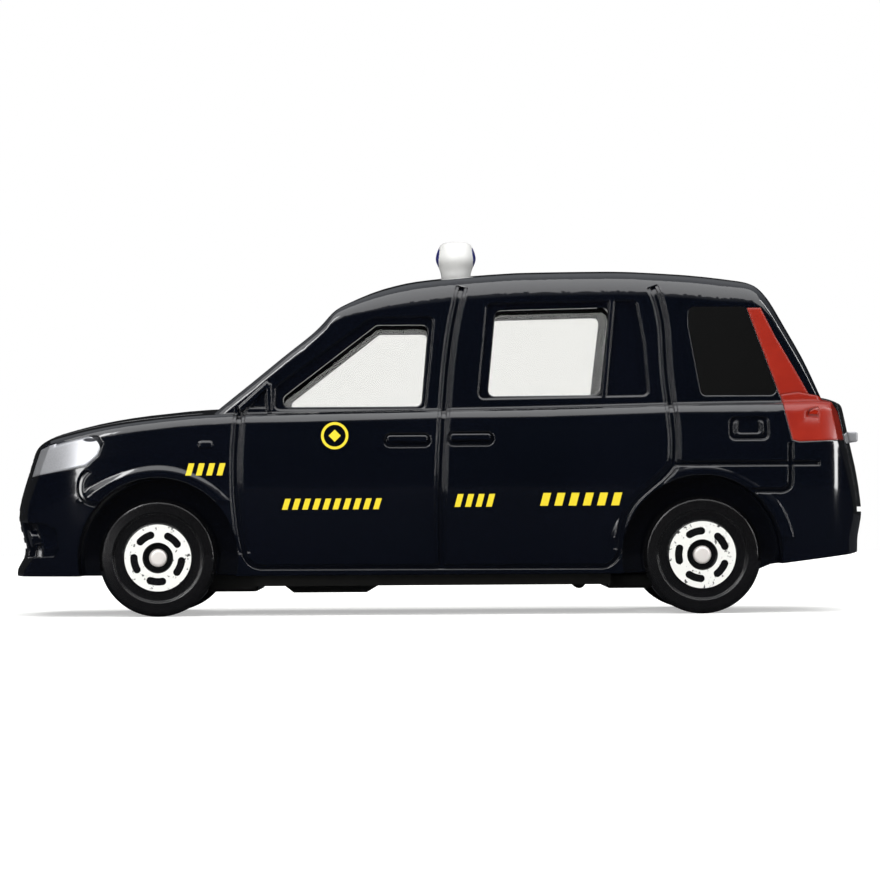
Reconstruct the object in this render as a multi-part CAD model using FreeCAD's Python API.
"""Die-cast toy taxi cab, about 1:62, in millimetres.

The origin is on the ground under the middle of the car. +X is the car's left
side, -Y is its front and +Z is up. The zinc body is shaped as its left half,
which is then mirrored. A black base plate closes it from below and carries the
two steel axles and their four wheels. Windows and seats are mouldings inside.
"""
import FreeCAD, Part
import math
import os

V = FreeCAD.Vector

# Overall form
HALF_LENGTH = 35.6
BODY_HALF_WIDTH = 13.65
BODY_BOTTOM = 3.35
WALL = 1.1
FIT_GAP = 0.04

# Wheels and axles
FRONT_AXLE_Y = -23.25
REAR_AXLE_Y = 21.5
WHEEL_RADIUS = 4.85
AXLE_HEIGHT = WHEEL_RADIUS
WHEEL_OUTER_X = 13.0
WHEEL_WIDTH = 3.5
WHEEL_STEP_RADIUS = 3.6
WHEEL_STEP_DEPTH = 0.35
HUB_RADIUS = 2.75
HUB_RECESS_RADIUS = 1.27
HUB_RECESS_DEPTH = 0.9
AXLE_RADIUS = 0.5
AXLE_FIT = 0.05
AXLE_HEAD_RADIUS = 0.75
AXLE_HEAD_LENGTH = 0.7
FOIL_THICKNESS = 0.08
FOIL_SLOTS = 5
SLOT_MEAN_RADIUS = 1.96
SLOT_WIDTH = 0.62
SLOT_SPAN_DEG = 48.0
FRONT_SLOT_TURN = -32.0
REAR_SLOT_TURN = -17.0

# Wheel arches and their flares, the flares as (radius, X) points about the axle's line
ARCH_RADIUS = 6.6
ARCH_LINER = 0.7
ARCH_INNER_X = 9.0
AXLE_SLOT_WIDTH = 1.4
FRONT_FLARE = [(6.6, 13.0), (6.6, 13.75), (6.85, 13.88), (7.3, 13.82), (8.1, 13.5), (8.1, 13.0)]
REAR_FLARE = [(6.6, 13.0), (6.6, 13.7), (6.8, 13.79), (7.15, 13.75), (7.6, 13.58), (7.6, 13.0)]
FLARE_PROUD = 0.22
FLARE_BOTTOMS = (9.45, 6.2)

# Lower body, as (Y, value) points: the middle of the top and the half-width
LOWER_TOP = [
    (-36.6, 9.0), (-35.6, 11.3), (-34.4, 13.2), (-33.4, 14.4), (-32.2, 15.1), (-30.2, 15.7),
    (-27.6, 16.3), (-23.8, 16.86), (-18.3, 17.3), (8.0, 17.75), (26.5, 18.05), (31.5, 18.05),
    (33.0, 17.7), (34.0, 17.0), (34.9, 15.6), (35.6, 13.6), (36.6, 10.0),
]
LOWER_HALF_WIDTH = [
    (-36.6, 5.4), (-35.6, 8.6), (-34.6, 10.6), (-33.4, 11.9), (-31.6, 12.85), (-29.0, 13.45),
    (-25.5, BODY_HALF_WIDTH), (26.0, BODY_HALF_WIDTH), (29.5, 13.35), (31.8, 12.8),
    (33.6, 11.7), (34.8, 10.3), (35.6, 8.7), (36.6, 5.6),
]
SHOULDER_RADIUS = 1.0
BONNET_SAG = 0.75
CROWN_HALF_WIDTH = 13.0
CREASE_HEIGHT = 13.8
UPPER_LEAN = 0.16
SKIRT_BOTTOM = 2.6
SIDE_TUCKS = [(0.85, 0.0), (0.25, 2.4), (-0.02, 5.4), (-0.08, 9.2)]
STATION_COUNT = 28

# Nose and tail in side view, as (Y, Z) points, and their radius seen from above
NOSE_LINE = [
    (-35.75, 3.3), (-35.7, 3.95), (-35.2, 4.9), (-35.2, 6.2), (-35.6, 7.9), (-35.45, 9.6),
    (-34.95, 11.3), (-34.3, 13.4), (-33.2, 16.0), (-32.2, 18.5),
]
TAIL_LINE = [
    (34.9, 3.3), (35.25, 4.9), (35.3, 6.2), (35.6, 8.0), (35.55, 9.2), (35.15, 11.9), (34.6, 14.4),
    (34.15, 16.6), (33.4, 19.0),
]
FACE_PLAN_RADIUS = 42.0
TAIL_EDGE = [(25.8, BODY_BOTTOM), (27.4, 4.0), (35.0, 4.95), (38.0, 5.2)]

# Cabin, as (Y, value) points: the middle of the top, the half-widths at the
# belt and at the roof, the radius of the roof's edge and its crown
CABIN_FOOT = 12.0
BELT_REF = 14.0
ROOF_REF = 27.0
CABIN_TOP = [
    (-20.6, 15.55), (-18.2, 17.5), (-15.55, 19.6), (-12.82, 21.8), (-10.3, 23.8), (-9.6, 24.5),
    (-9.1, 25.15), (-8.4, 25.68), (-7.0, 26.42), (-4.6, 27.35), (-1.9, 27.95), (2.2, 28.35),
    (7.5, 28.65), (14.0, 28.7), (19.9, 28.42), (23.9, 28.0), (25.6, 27.7), (26.5, 27.2),
    (27.3, 26.2), (28.6, 23.95), (30.0, 21.45), (31.2, 18.9), (33.0, 15.1),
]
CABIN_BELT_HALF = [(-20.6, 12.45), (-12.0, 12.7), (14.0, 12.7), (24.0, 12.6), (28.0, 12.3), (33.0, 11.2)]
CABIN_ROOF_HALF = [(-20.6, 10.9), (-12.0, 11.15), (14.0, 11.15), (24.0, 11.0), (28.0, 10.7), (33.0, 9.7)]
CABIN_EDGE_RADIUS = [(-20.6, 0.6), (-18.0, 0.9), (-10.0, 1.0), (-2.0, 2.2), (22.0, 2.2), (28.0, 1.6),
                     (33.0, 0.8)]
CABIN_CROWN = [(-20.6, 0.5), (-10.0, 0.5), (-4.0, 0.8), (24.0, 0.8), (28.0, 0.5), (33.0, 0.4)]
CABIN_STATION_STEP = 1.0
CORE_SPANS = [(-40.0, -8.0, -16.0), (-8.0, 12.0, 4.0), (12.0, 31.2, 27.0), (31.2, 40.0, 32.4)]
CORE_STATION_STEP = 1.5

# Shallow cuts: how deep a shut line, its soft lip, an inlay and a recess go
CUT_INNER_X = 9.0
GROOVE_DEPTH = 0.34
GROOVE_WIDTH = 0.42
LIP_DEPTH = 0.1
LIP_WIDTH = 0.95
INLAY_DEPTH = 0.42
RECESS_DEPTH = 0.45
WINDOW_CORNER = 0.5

# Windows and the recesses round them, as (Y, Z) outlines on the side
FRONT_WINDOW = [(-12.9, 17.2), (-1.55, 17.2), (-0.95, 23.95), (-5.2, 23.95), (-12.9, 18.05)]
FRONT_WINDOW_RECESS = [(-13.7, 16.95), (-1.2, 16.95), (-0.4, 24.65), (-5.6, 24.6), (-13.55, 18.9)]
REAR_WINDOW = [(3.95, 18.0), (13.15, 18.05), (14.0, 25.3), (4.65, 25.1)]
REAR_WINDOW_RECESS = [(3.1, 17.75), (17.25, 17.95), (16.9, 22.5), (16.3, 25.9), (3.9, 25.7)]
REAR_WINDOW_BAR = [(13.45, 17.4), (14.3, 26.2)]
WINDOW_BAR_WIDTH = 0.4
WINDSCREEN_SILL = (10.7, 18.3)
WINDSCREEN_HEADER = (9.5, 23.5)
BACKLIGHT_SILL = (9.3, 19.3)
BACKLIGHT_HEADER = (8.7, 25.0)

# Painted inlays, as (Y, Z) outlines on the side
QUARTER_WINDOW = [(21.55, 17.95), (27.95, 17.95), (25.3, 25.3), (20.55, 25.3), (20.55, 23.7)]
TAIL_STRIP = [(28.05, 17.9), (30.55, 17.9), (29.2, 20.3), (27.75, 22.8), (26.55, 25.2), (25.4, 25.2)]
TAIL_LAMP = [(28.95, 14.25), (29.5, 14.1), (34.4, 14.3), (33.35, 15.2), (32.95, 16.6), (32.3, 17.4), (31.2, 17.9),
             (29.6, 18.2), (28.1, 18.0), (28.35, 16.6)]
TAIL_LAMP_INNER_X = 9.6
HEADLAMP = [(-37.0, 11.0), (-33.4, 11.65), (-29.05, 12.45), (-28.1, 13.3), (-27.7, 14.3), (-28.1, 14.85),
            (-29.3, 15.05), (-32.7, 13.95), (-37.0, 12.7)]
HEADLAMP_INNER_X = 9.0

# Shut lines, as (Y, Z) routes on the side and an (X, Y) route on the bonnet;
# the doors' lines have soft lips
DOOR_LINES = [
    [(-16.4, 17.2), (-16.75, 13.0), (-16.6, 8.3), (-16.1, 5.2)],
    [(14.7, 5.3), (14.95, 6.9), (15.5, 8.5), (16.45, 9.7), (17.85, 10.9), (19.15, 12.3)],
    [(19.12, 12.1), (19.25, 14.0), (19.02, 17.0), (18.7, 19.8), (18.15, 25.6), (17.6, 27.0)],
    [(0.03, 4.1), (0.05, 11.7), (0.4, 17.6), (1.28, 24.65), (1.9, 27.1)],
]
SEAM_LINES = [
    [(-16.12, 5.3), (-15.95, 4.75), (-15.55, 4.3), (-14.9, 4.05)],
    [(-14.95, 4.03), (12.95, 3.95)],
    [(12.9, 3.95), (13.8, 4.1), (14.4, 4.6), (14.7, 5.4)],
    [(19.2, 12.35), (31.2, 12.35)],
    [(28.8, 14.0), (28.78, 10.7)],
    [(28.78, 10.8), (28.6, 10.35), (28.2, 10.12), (27.6, 10.1)],
    [(27.7, 10.1), (25.0, 10.1)],
    [(-28.9, 12.0), (-29.6, 10.9), (-29.35, 9.8), (-28.6, 9.35), (-27.6, 9.4)],
]
BONNET_LINE = [(9.0, -32.6), (9.6, -30.0), (10.1, -26.5), (10.45, -23.0), (10.7, -19.6)]

# Door handles and side repeaters, as (Y, Z) centres and (length, height) sizes
HANDLE_CENTRES = [(-2.7, 14.4), (2.5, 14.5)]
HANDLE_CUP = (3.8, 1.15)
HANDLE_BAR = (3.3, 0.5)
HANDLE_BAR_LIFT = 0.14
HANDLE_PROUD = 0.25
REPEATER_CENTRE = (-19.25, 14.15)
REPEATER_SIZE = (1.1, 0.45)
REPEATER_PROUD = 0.2

# The corner piece ahead of the front door's glass
SAIL_RECESS = [(-15.7, 17.15), (-14.3, 17.15), (-14.3, 18.75)]
SAIL_RIBS = [[(-16.5, 17.0), (-14.1, 19.15)], [(-14.1, 19.1), (-14.05, 16.9)]]
RIB_WIDTH = 0.4
RIB_PROUD = 0.1

# Fuel lid, on the left side only, and fog lamps
FUEL_LID = [(23.75, 14.25), (27.0, 14.25), (27.0, 16.2), (23.75, 16.2)]
FUEL_LID_CATCH = [(24.4, 14.75), (26.3, 14.75), (26.3, 15.85), (24.4, 15.85)]
FOG_RECESS = [(-37.0, 7.9), (-32.6, 7.75), (-31.6, 7.3), (-31.4, 5.7), (-31.8, 5.0), (-37.0, 4.7)]
FOG_RECESS_INNER_X = 8.2
FOG_RECESS_DEPTH = 0.7
FOG_LAMP_RADIUS = 0.7
FOG_LAMP_PLACE = (10.4, 6.5)

# Front and rear details, as half-widths and (bottom, top) heights
GRILLE_HALF_WIDTH = 5.4
GRILLE_HEIGHTS = (11.6, 13.3)
GRILLE_FRAME = 0.32
INTAKE_SLOTS = [(6.8, 5.6), (6.3, 6.5), (5.8, 7.4), (5.3, 8.3), (4.9, 9.2)]
INTAKE_SLOT_HEIGHT = 0.5
SIGN_HALF_WIDTH = 4.6
SIGN_HEIGHTS = (9.3, 11.5)
TAILGATE_HALF_WIDTH = 9.3
TAILGATE_HEIGHTS = (8.3, 18.0)
GARNISH_HALF_WIDTH = 4.4
GARNISH_HEIGHTS = (14.15, 15.0)
GARNISH_REACH = 35.15

# Rivet posts and base plate; pairs of values are the front's and the rear's
POST_RADIUS = 1.5
POST_HEAD_RADIUS = 1.9
POST_YS = (-30.6, 29.6)
POST_TOP = 15.2
WEB_THICKNESS = 1.2
WEB_HEIGHTS = (5.7, 12.0)
BASE_BOTTOM = 2.45
BASE_THICKNESS = 1.0
BASE_HALF_WIDTH = 11.6
BELLY_YS = (-15.4, 14.0)
BASE_END_YS = (-32.6, 32.0)
BASE_END_BOTTOMS = (3.6, 4.6)
BASE_END_HALF_WIDTH = 8.1
CRADLE_LENGTH = 3.6
CRADLE_BOTTOM = 2.9
CRADLE_TOP = 7.0
CRADLE_INNER_X = 4.6
PAD_OUTLINE = [(-13.2, 2.5), (-12.3, 1.8), (-6.2, 1.8), (-5.0, 2.5)]
PAD_HALF_WIDTH = 6.0
LUG_PLACE = (11.7, 2.5)
LUG_RADIUS = 0.55
LUG_HALF_WIDTH = 2.0

# Window insert and interior
GLASS_THICKNESS = 0.7
GLASS_BOTTOM = 16.2
ROOM_SAG = 0.25
BONNET_EXTRA = 0.7
ROOM_STATIONS = (-19.5, -16.0, -12.8, -9.9, -7.4, -4.6, -1.0, 4.0, 10.0, 16.0, 21.0, 24.5, 26.6, 28.6, 30.2, 31.8)
INTERIOR_FLOOR = 5.6
PAN_YS = (-14.0, 14.0)
PAN_HALF_WIDTH = 10.0
SEAT_TOP = 16.6
SEAT_SOFTNESS = 0.7
HEADREST_SOFTNESS = 0.45
STEERING_RADII = (1.9, 0.25)
STEERING_PLACE = (-5.2, -10.6, 14.2)
STEERING_TILT = 65.0

# Roof lamp
LAMP_Y = 1.45
LAMP_LENGTH = 3.4
LAMP_WIDTH = 4.6
LAMP_TOP = 31.4
LAMP_SEAT = 28.15
LAMP_NECK = 2.4
LAMP_PEG_RADIUS = 0.8
LAMP_PEG_LENGTH = 0.9


def smooth(points):
    """A function of Y through the points, with no overshoot between them."""
    ys = [p[0] for p in points]
    vs = [p[1] for p in points]
    rises = [(vs[k + 1] - vs[k]) / (ys[k + 1] - ys[k]) for k in range(len(ys) - 1)]
    slopes = [rises[0]]
    for before, after in zip(rises, rises[1:]):
        slopes.append(2 * before * after / (before + after) if before * after > 0 else 0.0)
    slopes.append(rises[-1])

    def value(y):
        k = max(i for i in range(len(ys) - 1) if i == 0 or ys[i] <= y)
        span = ys[k + 1] - ys[k]
        t = (y - ys[k]) / span
        return ((2 * t ** 3 - 3 * t ** 2 + 1) * vs[k] + (t ** 3 - 2 * t ** 2 + t) * span * slopes[k]
                + (3 * t ** 2 - 2 * t ** 3) * vs[k + 1] + (t ** 3 - t ** 2) * span * slopes[k + 1])
    return value


lower_top = smooth(LOWER_TOP)
lower_half_width = smooth(LOWER_HALF_WIDTH)
cabin_top = smooth(CABIN_TOP)
cabin_belt_half = smooth(CABIN_BELT_HALF)
cabin_roof_half = smooth(CABIN_ROOF_HALF)
cabin_edge_radius = smooth(CABIN_EDGE_RADIUS)
cabin_crown = smooth(CABIN_CROWN)


def even(points, step):
    """Evenly spaced places along Y between a curve's first and last points."""
    first, last = points[0][0], points[-1][0]
    count = round((last - first) / step)
    return [first + (last - first) * k / count for k in range(count + 1)]


def graded(points, count):
    """Places along Y, close together at both ends of a curve."""
    first, last = points[0][0], points[-1][0]
    return [first + (last - first) * (1 - math.cos(math.pi * k / count)) / 2 for k in range(count + 1)]


def mirrored(point):
    return V(-point.x, point.y, point.z)


def line(a, b):
    return Part.makeLine(a, b)


def arc(a, b, c):
    return Part.Arc(a, b, c).toShape()


def spline(points):
    curve = Part.BSplineCurve()
    curve.interpolate(points)
    return curve.toShape()


def steered(poles):
    """A smooth edge that starts and ends on its outer poles and is drawn towards the others."""
    curve = Part.BSplineCurve()
    curve.buildFromPoles(poles, False, 3)
    return curve.toShape()


def face(edges):
    return Part.Face(Part.Wire(edges))


def polygon(points):
    return Part.makePolygon(points + points[:1])


def section(base, high, top, crown_radius, edge_radius, skirt):
    """A closed section across the car: a skirt, leaning sides, a crowned top and round edges between them."""
    lean = (high - base).normalize()
    inward = V(-lean.z, 0, lean.x)
    centre = V(0, top.y, top.z - crown_radius)
    start = base + inward * edge_radius
    to_start = start - centre
    half_b = to_start.dot(lean)
    reach = half_b ** 2 - to_start.dot(to_start) + (crown_radius - edge_radius) ** 2
    middle = start + lean * (-half_b + math.sqrt(reach))
    outward = (middle - centre).normalize()
    side = middle - inward * edge_radius
    bend = middle + (outward - inward).normalize() * edge_radius
    crest = middle + outward * edge_radius
    edges = [arc(crest, top, mirrored(crest)), arc(mirrored(crest), mirrored(bend), mirrored(side)),
             line(mirrored(side), mirrored(base))]
    if skirt:
        edges.append(steered([mirrored(p) for p in reversed(skirt)]))
    foot = skirt[0] if skirt else base
    edges.append(line(mirrored(foot), foot))
    if skirt:
        edges.append(steered(skirt))
    edges += [line(base, side), arc(side, bend, crest)]
    return Part.Wire(edges)


def cabin_section(y, inset=0.0):
    lean = (cabin_roof_half(y) - cabin_belt_half(y)) / (ROOF_REF - BELT_REF)
    base = V(cabin_belt_half(y) + lean * (CABIN_FOOT - BELT_REF) - inset, y, CABIN_FOOT)
    high = V(cabin_roof_half(y) - inset, y, ROOF_REF)
    half, sag = cabin_belt_half(y), cabin_crown(y)
    crown_radius = (half ** 2 + sag ** 2) / (2 * sag)
    return section(base, high, V(0, y, cabin_top(y) - inset), crown_radius,
                   max(cabin_edge_radius(y) - inset, 0.35), [])


def lower_section(y, inset=0.0):
    waist = min(CREASE_HEIGHT, lower_top(y) - 3.2)
    lift = (waist - SKIRT_BOTTOM) / (CREASE_HEIGHT - SKIRT_BOTTOM)
    width = lower_half_width(y) - inset
    skirt = [V(width - tuck, y, SKIRT_BOTTOM + rise * lift) for tuck, rise in SIDE_TUCKS] + [V(width, y, waist)]
    crown_radius = (CROWN_HALF_WIDTH ** 2 + BONNET_SAG ** 2) / (2 * BONNET_SAG)
    return section(skirt[-1], skirt[-1] + V(-UPPER_LEAN, 0, 1), V(0, y, lower_top(y) - inset), crown_radius,
                   max(SHOULDER_RADIUS - inset, 0.3), skirt)


def faced(profile, end, inset=0.0):
    """What lies behind the nose (end -1) or the tail (end 1): its side line turned about an upright axis."""
    axis_y = end * (HALF_LENGTH - FACE_PLAN_RADIUS)
    low, high = V(0, axis_y, profile[0][1] - 3), V(0, axis_y, profile[-1][1] + 8)
    outer = [V(0, y - end * inset, z) for y, z in profile]
    first, last = V(0, outer[0].y, low.z), V(0, outer[-1].y, high.z)
    side = face([line(low, first), line(first, outer[0]), spline(outer), line(outer[-1], last), line(last, high),
                 line(high, low)])
    return side.revolve(V(0, axis_y, 0), V(0, 0, 1), 360)


def lower():
    block = Part.makeLoft([lower_section(y) for y in graded(LOWER_TOP, STATION_COUNT)], True, False)
    return block.common(faced(NOSE_LINE, -1)).common(faced(TAIL_LINE, 1))


def cabin():
    return Part.makeLoft([cabin_section(y) for y in even(CABIN_TOP, CABIN_STATION_STEP)], True, False)


def left_half(shape):
    return shape.common(Part.makeBox(40, 100, 60, V(0, -50, -5)))


def lower_core(inset):
    """The left half of the lower body drawn in by an inset, with one section to each span of its length."""
    spans = []
    for y_from, y_to, y_section in CORE_SPANS:
        span = Part.Face(lower_section(y_section, inset)).extrude(V(0, y_to - y_from, 0))
        span.translate(V(0, y_from - y_section, 0))
        spans.append(span)
    bar = spans[0].fuse(spans[1:])
    edge = [V(half - inset, y, 0) for y, half in LOWER_HALF_WIDTH]
    first, last = V(0, edge[0].y, 0), V(0, edge[-1].y, 0)
    plan = face([line(first, edge[0]), spline(edge), line(edge[-1], last), line(last, first)])
    bar = bar.common(plan.extrude(V(0, 0, 40)))
    return bar.common(faced(NOSE_LINE, -1, inset)).common(faced(TAIL_LINE, 1, inset))


def core(inset):
    """What a shallow cut stops at or, with a negative inset, what a raised detail reaches out to,
    as the lower body's part and the cabin's."""
    cabin_core = Part.makeLoft([cabin_section(y, inset) for y in even(CABIN_TOP, CORE_STATION_STEP)], True, True)
    return [lower_core(inset), left_half(cabin_core)]


def beyond(shape, floor):
    """What of a shape lies outside a core."""
    for part in floor:
        shape = shape.cut(part)
    return shape


def within(shape, reach):
    """What of a shape lies inside a core."""
    return shape.common(reach[0].fuse(reach[1]))


def along_x(radius, x_from, x_to, y, z):
    return Part.makeCylinder(radius, x_to - x_from, V(x_from, y, z), V(1, 0, 0))


def prism(outline, x_from, x_to, corner=0.0):
    """A (Y, Z) outline run along X."""
    shape = Part.Face(polygon([V(x_from, y, z) for y, z in outline])).extrude(V(x_to - x_from, 0, 0))
    if corner:
        along = [e for e in shape.Edges if e.BoundBox.XLength > 0.9 * abs(x_to - x_from)]
        shape = shape.makeFillet(corner, along)
    return shape


def side_prism(outline, inner_x=CUT_INNER_X, corner=0.0):
    """A (Y, Z) outline run along X from inside the left wall out past it."""
    return prism(outline, inner_x, BODY_HALF_WIDTH + 1, corner)


def capsule(centre, size):
    """A lying slot with round ends, run along X out past the left wall."""
    (y, z), (length, height) = centre, size
    corners = [(y + dy * length / 2, z + dz * height / 2) for dy, dz in ((-1, -1), (1, -1), (1, 1), (-1, 1))]
    return side_prism(corners, corner=0.45 * height)


def ribbon(route, width):
    """A strip of one width about a (Y, Z) route, run along X out past the left wall."""
    left, right = [], []
    for k, (y, z) in enumerate(route):
        before, after = route[max(k - 1, 0)], route[min(k + 1, len(route) - 1)]
        run = V(0, after[0] - before[0], after[1] - before[1]).normalize()
        across = V(0, -run.z, run.y) * (width / 2)
        left.append(V(CUT_INNER_X, y, z) + across)
        right.append(V(CUT_INNER_X, y, z) - across)
    if len(route) > 2:
        outline = face([spline(left), line(left[-1], right[-1]), spline(right[::-1]), line(right[0], left[0])])
    else:
        outline = Part.Face(polygon(left + right[::-1]))
    return outline.extrude(V(BODY_HALF_WIDTH + 1 - CUT_INNER_X, 0, 0))


def end_box(half_width, heights, end, x_from=0.0):
    """The left half of a box that runs out past the nose (end -1) or the tail (end 1)."""
    y = -HALF_LENGTH - 2 if end < 0 else HALF_LENGTH - 6
    return Part.makeBox(half_width - x_from, 8, heights[1] - heights[0], V(x_from, y, heights[0]))


def end_opening(sill, header, y_from, y_to):
    """A window through an end of the cabin, as (half-width, height) at its sill and header."""
    corners = [V(x, y_from, z) for x, z in ((-sill[0], sill[1]), sill, header, (-header[0], header[1]))]
    shape = Part.Face(polygon(corners)).extrude(V(0, y_to - y_from, 0))
    along = [e for e in shape.Edges if e.BoundBox.YLength > 0.9 * (y_to - y_from)]
    return shape.makeFillet(2 * WINDOW_CORNER, along)


def bonnet_groove():
    """The bonnet's shut line on the left, cut down into its crowned top."""
    frames = []
    for x, y in BONNET_LINE:
        floor_z = lower_top(y) - BONNET_SAG * (x / CROWN_HALF_WIDTH) ** 2 - GROOVE_DEPTH
        half = GROOVE_WIDTH / 2
        frames.append(polygon([V(x - half, y, floor_z), V(x + half, y, floor_z), V(x + half, y, floor_z + 2),
                               V(x - half, y, floor_z + 2)]))
    return Part.makeLoft(frames, True, True)


def flare(profile, y, bottom):
    """A bulge turned about an axle's line, as a ring on the left down to a height."""
    points = [V(x, y, AXLE_HEIGHT + r) for r, x in profile]
    ring = face([spline(points[1:5])] + [line(a, b) for a, b in zip(points[4:] + points[:1], points[5:] + points[:2])])
    ring = ring.revolve(V(0, y, AXLE_HEIGHT), V(1, 0, 0), 360)
    return ring.common(Part.makeBox(30, 40, 20, V(0, y - 20, bottom)))


def windows():
    """The tools that cut the window openings of the left half."""
    return [side_prism(FRONT_WINDOW, 8.5, WINDOW_CORNER), side_prism(REAR_WINDOW, 8.5, WINDOW_CORNER),
            end_opening(WINDSCREEN_SILL, WINDSCREEN_HEADER, -22.0, -6.0),
            end_opening(BACKLIGHT_SILL, BACKLIGHT_HEADER, 24.0, 34.0)]


def inlays():
    """The outlines of what is painted in another colour on the left half, by name."""
    return {
        "quarter_panel": side_prism(QUARTER_WINDOW, 8.5, WINDOW_CORNER),
        "tail_lamp": side_prism(TAIL_LAMP, TAIL_LAMP_INNER_X),
        "tail_strip": side_prism(TAIL_STRIP, 8.0).cut(side_prism(TAIL_LAMP, 7.0)),
        "headlamp": side_prism(HEADLAMP, HEADLAMP_INNER_X),
    }


def posts():
    """The rivet posts that hold the base, each with a web to the end wall."""
    shapes = []
    for y, base_bottom in zip(POST_YS, BASE_END_BOTTOMS):
        shapes.append(Part.makeCylinder(POST_RADIUS, POST_TOP, V(0, y, 0)))
        shapes.append(Part.makeCylinder(POST_HEAD_RADIUS, base_bottom, V(0, y, 0)))
        web_y = min(y, math.copysign(HALF_LENGTH, y))
        shapes.append(Part.makeBox(WEB_THICKNESS, HALF_LENGTH - abs(y), WEB_HEIGHTS[1] - WEB_HEIGHTS[0],
                                   V(-WEB_THICKNESS / 2, web_y, WEB_HEIGHTS[0])))
    return shapes


def room_line(inset):
    """The cabin's roof line in side view, drawn in by an inset."""
    points = []
    for y in ROOM_STATIONS:
        slope = cabin_top(y + 0.5) - cabin_top(y - 0.5)
        run = math.hypot(1, slope)
        points.append(V(0, y + inset * slope / run, cabin_top(y) - inset / run))
    return points


def under(points, bottom, half_width):
    """What lies under a (Y, Z) line, run across the car."""
    low, high = V(0, points[0].y, bottom), V(0, points[-1].y, bottom)
    shape = face([spline(points), line(points[-1], high), line(high, low), line(low, points[0])])
    shape.translate(V(-half_width, 0, 0))
    return shape.extrude(V(2 * half_width, 0, 0))


def cabin_room(inset):
    """The space inside the cabin, between flat leaning sides under a drawn-in roof line."""
    frames = []
    for y in (CABIN_TOP[0][0], 0.0, 22.0, 28.0, CABIN_TOP[-1][0]):
        lean = (cabin_roof_half(y) - cabin_belt_half(y)) / (ROOF_REF - BELT_REF)
        low, high = cabin_belt_half(y) - inset - 2 * lean, cabin_belt_half(y) - inset + 16 * lean
        frames.append(polygon([V(-low, y, BELT_REF - 2), V(low, y, BELT_REF - 2), V(high, y, BELT_REF + 16),
                               V(-high, y, BELT_REF + 16)]))
    return under(room_line(inset + ROOM_SAG), BELT_REF - 1.5, 15).common(Part.makeLoft(frames, True, True))


def room():
    """The hollow of the left half, without the wheelhouses and the rivet posts."""
    bonnet = [V(0, y, z - WALL - BONNET_EXTRA) for y, z in LOWER_TOP[2:-2]]
    hollow = lower_core(WALL).common(under(bonnet, 0, 15)).fuse(left_half(cabin_room(WALL)))
    for y in (FRONT_AXLE_Y, REAR_AXLE_Y):
        hollow = hollow.cut(along_x(ARCH_RADIUS + ARCH_LINER, ARCH_INNER_X - ARCH_LINER, 20, y, AXLE_HEIGHT))
    return hollow.cut(posts())


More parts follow.
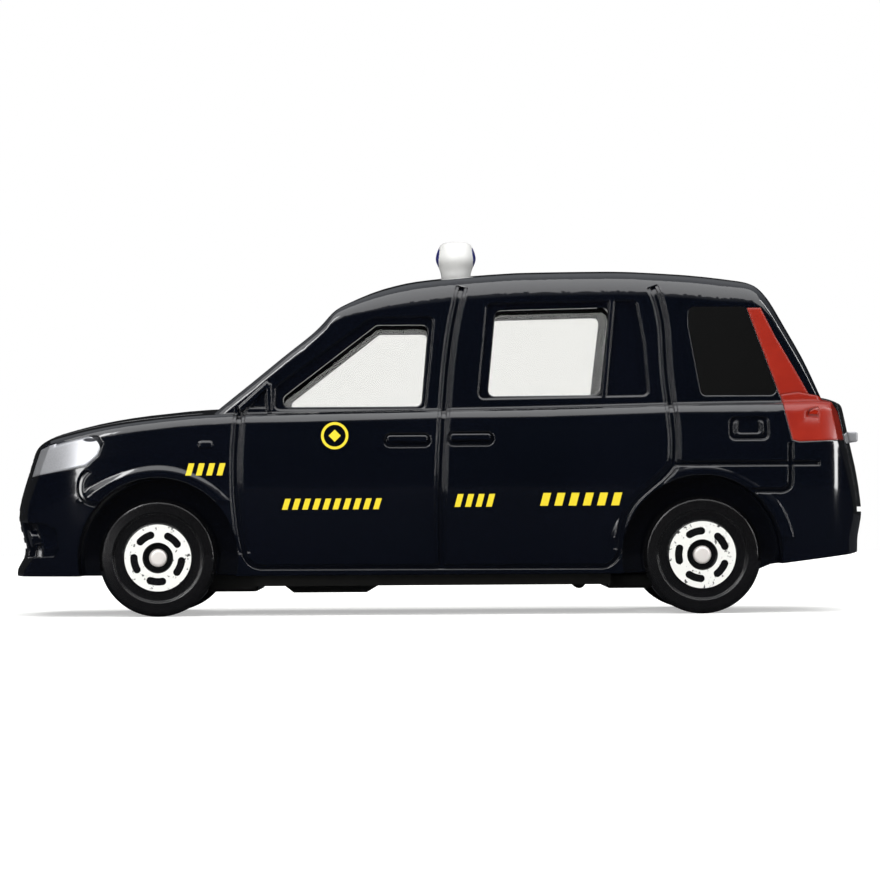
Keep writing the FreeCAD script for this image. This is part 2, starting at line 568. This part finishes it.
def body_half(outer_half, shut_core):
    """The left half of the casting, with what both sides have."""
    flares = flare(FRONT_FLARE, FRONT_AXLE_Y, FLARE_BOTTOMS[0]).fuse(flare(REAR_FLARE, REAR_AXLE_Y, FLARE_BOTTOMS[1]))
    half = outer_half.fuse(within(flares, core(-FLARE_PROUD)))
    lips = [ribbon(route, LIP_WIDTH) for route in DOOR_LINES]
    grooves = [ribbon(route, GROOVE_WIDTH) for route in DOOR_LINES + SEAM_LINES]
    grooves += [side_prism(SAIL_RECESS)] + [capsule(centre, HANDLE_CUP) for centre in HANDLE_CENTRES]
    grooves += [end_box(half_width, (z, z + INTAKE_SLOT_HEIGHT), -1) for half_width, z in INTAKE_SLOTS]
    grooves.append(end_box(SIGN_HALF_WIDTH, SIGN_HEIGHTS, 1))
    low, high = TAILGATE_HEIGHTS
    grooves.append(end_box(TAILGATE_HALF_WIDTH, (low, low + GROOVE_WIDTH), 1))
    grooves.append(end_box(TAILGATE_HALF_WIDTH, (low, high), 1, TAILGATE_HALF_WIDTH - GROOVE_WIDTH))
    fog_lamp = Part.makeCylinder(FOG_LAMP_RADIUS, 8, V(FOG_LAMP_PLACE[0], -38, FOG_LAMP_PLACE[1]), V(0, 1, 0))
    deep = [(lips, core(LIP_DEPTH)), (grooves, shut_core),
            (list(inlays().values()) + [end_box(GRILLE_HALF_WIDTH, GRILLE_HEIGHTS, -1)], core(INLAY_DEPTH)),
            ([side_prism(FRONT_WINDOW_RECESS, 8.5, WINDOW_CORNER),
              side_prism(REAR_WINDOW_RECESS, 8.5, WINDOW_CORNER).cut(ribbon(REAR_WINDOW_BAR, WINDOW_BAR_WIDTH))],
             core(RECESS_DEPTH)),
            ([side_prism(FOG_RECESS, FOG_RECESS_INNER_X).cut(fog_lamp)], core(FOG_RECESS_DEPTH))]
    for tools, floor in deep:
        tool = tools[0].fuse(tools[1:]) if len(tools) > 1 else tools[0]
        half = half.cut(beyond(tool, floor))
    cuts = windows() + [room(), bonnet_groove()]
    for y in (FRONT_AXLE_Y, REAR_AXLE_Y):
        cuts.append(along_x(ARCH_RADIUS, ARCH_INNER_X, 20, y, AXLE_HEIGHT))
        cuts.append(Part.makeBox(20, AXLE_SLOT_WIDTH, AXLE_HEIGHT + AXLE_SLOT_WIDTH / 2, V(0, y - AXLE_SLOT_WIDTH / 2, 0)))
    cuts.append(Part.makeBox(40, 90, 10, V(-20, -45, BODY_BOTTOM - 10)))
    cuts.append(prism(TAIL_EDGE + [(38.0, 2.0), (25.8, 2.0)], -20, 20))
    cuts.append(Part.makeCylinder(LAMP_PEG_RADIUS + FIT_GAP, 6.0, V(0, LAMP_Y, LAMP_SEAT - 3.0)))
    for tool in cuts:
        half = half.cut(tool)
    raised = [(ribbon(route, RIB_WIDTH), RIB_PROUD) for route in SAIL_RIBS]
    raised.append((capsule(REPEATER_CENTRE, REPEATER_SIZE), REPEATER_PROUD))
    for (y, z) in HANDLE_CENTRES:
        raised.append((capsule((y, z + HANDLE_BAR_LIFT), HANDLE_BAR), HANDLE_PROUD))
    for tool, proud in raised:
        half = half.fuse(beyond(within(tool, core(-proud)), core(RECESS_DEPTH)))
    return half


def body_shell(half, shut_core):
    """Both halves of the zinc casting, with the fuel lid on the left one."""
    lid = side_prism(FUEL_LID, corner=WINDOW_CORNER)
    inside = [(y + dy * GROOVE_WIDTH, z + dz * GROOVE_WIDTH)
              for (y, z), (dy, dz) in zip(FUEL_LID, ((1, 1), (-1, 1), (-1, -1), (1, -1)))]
    ring = lid.cut(side_prism(inside, corner=WINDOW_CORNER / 2)).fuse(side_prism(FUEL_LID_CATCH, corner=0.3))
    return half.cut(beyond(ring, shut_core)).fuse(half.mirror(V(0, 0, 0), V(1, 0, 0)))


def front_grille(outer):
    """The silver bar grille between the headlamps, let into the nose."""
    low, high = GRILLE_HEIGHTS
    frame = end_box(GRILLE_HALF_WIDTH, GRILLE_HEIGHTS, -1, -GRILLE_HALF_WIDTH)
    slot_height = (high - low - 3 * GRILLE_FRAME) / 2
    for bottom in (low + GRILLE_FRAME, low + 2 * GRILLE_FRAME + slot_height):
        width = GRILLE_HALF_WIDTH - GRILLE_FRAME
        frame = frame.cut(end_box(width, (bottom, bottom + slot_height), -1, -width))
    return frame.common(outer).cut(faced(NOSE_LINE, -1, INLAY_DEPTH))


def rear_garnish(outer):
    """The silver bar across the tailgate, seated on its curve."""
    bar = Part.makeBox(2 * GARNISH_HALF_WIDTH, 2.0, GARNISH_HEIGHTS[1] - GARNISH_HEIGHTS[0],
                       V(-GARNISH_HALF_WIDTH, GARNISH_REACH - 2.0, GARNISH_HEIGHTS[0]))
    rim = [e for e in bar.Edges if e.BoundBox.YMin > GARNISH_REACH - 0.01]
    return bar.makeFillet(0.2, rim).cut(outer)


def box(x_half, ys, zs):
    """A box centred across the car."""
    return Part.makeBox(2 * x_half, ys[1] - ys[0], zs[1] - zs[0], V(-x_half, ys[0], zs[0]))


def base_plate():
    """Black moulded base: belly, raised ends, axle bearings and the holes for the posts."""
    top = BASE_BOTTOM + BASE_THICKNESS
    plate = box(BASE_HALF_WIDTH, BELLY_YS, (BASE_BOTTOM, top))
    added, cuts = [prism(PAD_OUTLINE, -PAD_HALF_WIDTH, PAD_HALF_WIDTH)], []
    for k, axle_y in enumerate((FRONT_AXLE_Y, REAR_AXLE_Y)):
        low = BASE_END_BOTTOMS[k]
        high = low + BASE_THICKNESS
        ys = (BASE_END_YS[0], BELLY_YS[0] + BASE_THICKNESS) if k == 0 else (BELLY_YS[1] - BASE_THICKNESS, BASE_END_YS[1])
        riser = (BELLY_YS[0], BELLY_YS[0] + BASE_THICKNESS) if k == 0 else (BELLY_YS[1] - BASE_THICKNESS, BELLY_YS[1])
        added += [box(BASE_END_HALF_WIDTH, ys, (low, high)), box(BASE_END_HALF_WIDTH, riser, (BASE_BOTTOM, high))]
        span = (axle_y - CRADLE_LENGTH / 2, axle_y + CRADLE_LENGTH / 2)
        added.append(box(BASE_END_HALF_WIDTH, span, (CRADLE_BOTTOM, CRADLE_TOP)))
        cuts.append(box(CRADLE_INNER_X, (span[0] - 0.6, span[1] + 0.6), (CRADLE_BOTTOM - 1, CRADLE_TOP + 1)))
        cuts.append(along_x(AXLE_RADIUS + AXLE_FIT, -20, 20, axle_y, AXLE_HEIGHT))
        cuts.append(Part.makeCylinder(POST_RADIUS + FIT_GAP, 10, V(0, POST_YS[k], 0)))
    added.append(along_x(LUG_RADIUS, -LUG_HALF_WIDTH, LUG_HALF_WIDTH, *LUG_PLACE))
    plate = plate.fuse(added)
    for tool in cuts:
        plate = plate.cut(tool)
    return plate.removeSplitter()


def window_insert():
    """One clear moulding that lines the cabin's walls from the sills up."""
    band = box(20, (-40, 40), (GLASS_BOTTOM, 40))
    return cabin_room(WALL + FIT_GAP).common(band).cut(cabin_room(WALL + FIT_GAP + GLASS_THICKNESS))


def cushion(x_half, ys, zs, x=0.0, softness=SEAT_SOFTNESS):
    """A soft-edged block of the seats."""
    block = box(x_half, ys, zs)
    block.translate(V(x, 0, 0))
    edges = [e for e in block.Edges if e.BoundBox.ZMin > zs[0] + 0.01]
    return block.makeFillet(softness, edges)


def interior():
    """One moulding: floor pan, dashboard, two front seats, a rear bench and the steering wheel on the right."""
    floor, top = INTERIOR_FLOOR, INTERIOR_FLOOR + 0.9
    shape = box(PAN_HALF_WIDTH, PAN_YS, (floor, top))
    pieces = [cushion(PAN_HALF_WIDTH, (PAN_YS[0], PAN_YS[0] + 2.6), (floor, 14.6))]
    for x in (-5.2, 5.2):
        pieces.append(cushion(3.3, (-8.0, -1.2), (floor, 9.4), x))
        pieces.append(cushion(3.3, (-2.4, -0.4), (floor, 15.0), x))
        pieces.append(cushion(1.6, (-2.1, -0.7), (14.0, SEAT_TOP), x, HEADREST_SOFTNESS))
    pieces.append(cushion(7.8, (8.0, 15.4), (floor, 9.4)))
    pieces.append(cushion(7.8, (14.2, 16.2), (floor + 1, SEAT_TOP - 0.4)))
    shape = shape.fuse(pieces)
    ring = Part.makeTorus(*STEERING_RADII)
    hub = Part.makeCylinder(0.6, 3.2, V(0, 0, -3.0))
    spoke = Part.makeBox(2 * STEERING_RADII[0], 0.5, 0.3, V(-STEERING_RADII[0], -0.25, -0.15))
    wheel = ring.fuse([hub, spoke])
    wheel.rotate(V(0, 0, 0), V(1, 0, 0), -STEERING_TILT)
    wheel.translate(V(*STEERING_PLACE))
    return shape.fuse(wheel)


def roof_lamp(outer):
    """The round-shouldered lamp, seated on the roof's curve, with the peg that holds it there."""
    height = LAMP_TOP - LAMP_SEAT
    profile = [V(0, 0, 0), V(LAMP_NECK / 2, 0, 0), V(LAMP_NECK / 2 + 0.05, 0, 0.35),
               V(LAMP_LENGTH / 2, 0, height * 0.56), V(LAMP_LENGTH / 2 * 0.82, 0, height * 0.87),
               V(0, 0, height)]
    curve = Part.BSplineCurve()
    curve.interpolate(Points=profile[2:], InitialTangent=V(0.1, 0, 1), FinalTangent=V(-1, 0, 0))
    outline = face([line(profile[0], profile[1]), line(profile[1], profile[2]), curve.toShape(),
                    line(profile[-1], profile[0])])
    lamp = outline.revolve(V(0, 0, 0), V(0, 0, 1), 360)
    stretch = FreeCAD.Matrix()
    stretch.scale(V(LAMP_WIDTH / LAMP_LENGTH, 1, 1))
    lamp = lamp.transformGeometry(stretch)
    lamp.translate(V(0, LAMP_Y, LAMP_SEAT))
    peg = Part.makeCylinder(LAMP_PEG_RADIUS, LAMP_PEG_LENGTH + 0.6, V(0, LAMP_Y, LAMP_SEAT - LAMP_PEG_LENGTH))
    return lamp.cut(outer).fuse(peg)


def axle(y):
    """A steel wire with a riveted head at each end."""
    head_x = WHEEL_OUTER_X - HUB_RECESS_DEPTH + AXLE_FIT
    shape = along_x(AXLE_RADIUS, -head_x, head_x, y, AXLE_HEIGHT)
    for side in (-1, 1):
        near, far = sorted((side * head_x, side * (head_x + AXLE_HEAD_LENGTH)))
        head = along_x(AXLE_HEAD_RADIUS, near, far, y, AXLE_HEIGHT)
        rim = [e for e in head.Edges if abs(e.BoundBox.XMin - side * (head_x + AXLE_HEAD_LENGTH)) < 0.01
               and e.BoundBox.XLength < 0.01]
        shape = shape.fuse(head.makeFillet(0.3, rim))
    return shape


def wheel(y, side):
    """Black moulded wheel: tyre, step, hub and bore in one piece, as an (r, x) half-profile turned about the axle."""
    front = WHEEL_OUTER_X
    inner = WHEEL_OUTER_X - WHEEL_WIDTH
    profile = [
        (AXLE_RADIUS + AXLE_FIT, inner), (WHEEL_RADIUS - 0.25, inner), (WHEEL_RADIUS, inner + 0.3),
        (WHEEL_RADIUS, front - 0.55), (WHEEL_RADIUS - 0.3, front - 0.1), (WHEEL_STEP_RADIUS + 0.1, front),
        (WHEEL_STEP_RADIUS, front - WHEEL_STEP_DEPTH), (HUB_RADIUS + 0.05, front - WHEEL_STEP_DEPTH),
        (HUB_RADIUS, front - FOIL_THICKNESS),
        (HUB_RECESS_RADIUS, front - FOIL_THICKNESS), (HUB_RECESS_RADIUS, front - HUB_RECESS_DEPTH),
        (AXLE_RADIUS + AXLE_FIT, front - HUB_RECESS_DEPTH),
    ]
    outline = Part.Face(polygon([V(side * x, y, AXLE_HEIGHT + r) for r, x in profile]))
    return outline.revolve(V(0, y, AXLE_HEIGHT), V(1, 0, 0), 360)


def curved_slot(mid_deg, x_from, x_to, y):
    """A rounded slot that bends round the axle, centred at an angle from straight up."""
    def at(radius, deg):
        turn = math.radians(deg)
        return V(x_from, y + radius * math.sin(turn), AXLE_HEIGHT + radius * math.cos(turn))
    half, r_in, r_out = SLOT_SPAN_DEG / 2, SLOT_MEAN_RADIUS - SLOT_WIDTH / 2, SLOT_MEAN_RADIUS + SLOT_WIDTH / 2
    cap = math.degrees(SLOT_WIDTH / 2 / SLOT_MEAN_RADIUS)
    a, b = mid_deg - half + cap, mid_deg + half - cap
    outline = face([arc(at(r_out, a), at(r_out, mid_deg), at(r_out, b)),
                    arc(at(r_out, b), at(SLOT_MEAN_RADIUS, b + cap), at(r_in, b)),
                    arc(at(r_in, b), at(r_in, mid_deg), at(r_in, a)),
                    arc(at(r_in, a), at(SLOT_MEAN_RADIUS, a - cap), at(r_out, a))])
    return outline.extrude(V(x_to - x_from, 0, 0))


def hub_foil(y, side, first_slot):
    """The silver hub face with its five rounded slots."""
    near, far = sorted((side * (WHEEL_OUTER_X - FOIL_THICKNESS), side * WHEEL_OUTER_X))
    ring = along_x(HUB_RADIUS, near, far, y, AXLE_HEIGHT)
    ring = ring.cut(along_x(HUB_RECESS_RADIUS, near - 1, far + 1, y, AXLE_HEIGHT))
    for k in range(FOIL_SLOTS):
        ring = ring.cut(curved_slot(first_slot + 360.0 * k / FOIL_SLOTS, near - 1, far + 1, y))
    return ring


def save(name, shape):
    shape.exportStep(os.path.join("parts", name + ".step"))


os.makedirs("parts", exist_ok=True)
outer = lower().fuse(cabin())
outer_half = left_half(outer)
shut_core = core(GROOVE_DEPTH)
half = body_half(outer_half, shut_core)
save("body_shell", body_shell(half, shut_core))
inlay_core = core(INLAY_DEPTH)
for name, tool in inlays().items():
    left = beyond(tool.common(outer_half), inlay_core)
    save(name + "_left", left)
    save(name + "_right", left.mirror(V(0, 0, 0), V(1, 0, 0)))
save("front_grille", front_grille(outer))
save("rear_garnish", rear_garnish(outer))
save("base_plate", base_plate())
save("window_insert", window_insert())
save("interior", interior())
save("roof_lamp", roof_lamp(outer))
for end, y, turn in (("front", FRONT_AXLE_Y, FRONT_SLOT_TURN), ("rear", REAR_AXLE_Y, REAR_SLOT_TURN)):
    save(end + "_axle", axle(y))
    for name, side in (("left", 1), ("right", -1)):
        save("wheel_%s_%s" % (end, name), wheel(y, side))
        save("hub_foil_%s_%s" % (end, name), hub_foil(y, side, turn))
